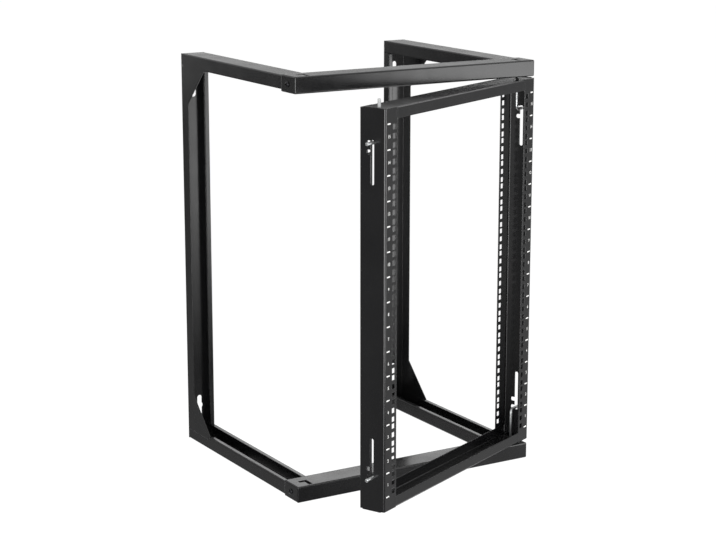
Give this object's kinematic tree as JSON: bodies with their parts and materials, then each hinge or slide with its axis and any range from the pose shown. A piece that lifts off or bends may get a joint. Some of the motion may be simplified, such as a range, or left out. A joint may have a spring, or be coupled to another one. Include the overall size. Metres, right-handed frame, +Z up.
{
  "type": "wall-mount open frame rack",
  "caption": "Open steel frame that bolts to a wall and carries 19-inch equipment on a perforated swing gate, which hangs and latches on bent slide bolts.",
  "frame": {"origin": "middle of the left upright's wall face", "axes": "+Z up, +Y into the wall, -Y to the front where the gate hangs, +X to the right seen from the front"},
  "size_m": [0.5409, 0.6681, 0.792],
  "materials": {
    "black_powder_coat": "semi-gloss black powder coat",
    "zinc_plated_steel": "bright zinc plate",
    "black_oxide_steel": "black oxide"
  },
  "bodies": {
    "frame": {"left_upright": "black_powder_coat", "top_left_arm": "black_powder_coat", "top_left_screw": "black_oxide_steel", "bottom_left_arm": "black_powder_coat", "bottom_left_screw": "black_oxide_steel", "right_upright": "black_powder_coat", "top_right_arm": "black_powder_coat", "top_right_screw": "black_oxide_steel", "bottom_right_arm": "black_powder_coat", "bottom_right_screw": "black_oxide_steel", "top_cross_bar": "black_powder_coat", "bottom_cross_bar": "black_powder_coat"},
    "gate": {"gate_left_stile": "black_powder_coat", "gate_right_stile": "black_powder_coat", "gate_top_rail": "black_powder_coat", "gate_bottom_rail": "black_powder_coat"},
    "top_left_bolt": {"top_left_bolt": "zinc_plated_steel"},
    "top_right_bolt": {"top_right_bolt": "zinc_plated_steel"},
    "bottom_left_bolt": {"bottom_left_bolt": "zinc_plated_steel"},
    "bottom_right_bolt": {"bottom_right_bolt": "zinc_plated_steel"}
  },
  "joints": [
    {"name": "gate_swing", "type": "hinge", "parent": "frame", "child": "gate", "pos_m": [0.4745, -0.4335, 0], "axis": [0, 0, 1], "range_deg": [-25, 155]},
    {"name": "top_left_bolt_slide", "type": "slide", "parent": "gate", "child": "top_left_bolt", "axis": [0, 0, -1], "range_m": [0, 0.016]},
    {"name": "top_right_bolt_slide", "type": "slide", "parent": "gate", "child": "top_right_bolt", "axis": [0, 0, -1], "range_m": [0, 0.016]},
    {"name": "bottom_left_bolt_slide", "type": "slide", "parent": "gate", "child": "bottom_left_bolt", "axis": [0, 0, 1], "range_m": [0, 0.016]},
    {"name": "bottom_right_bolt_slide", "type": "slide", "parent": "gate", "child": "bottom_right_bolt", "axis": [0, 0, 1], "range_m": [0, 0.016]}
  ]
}
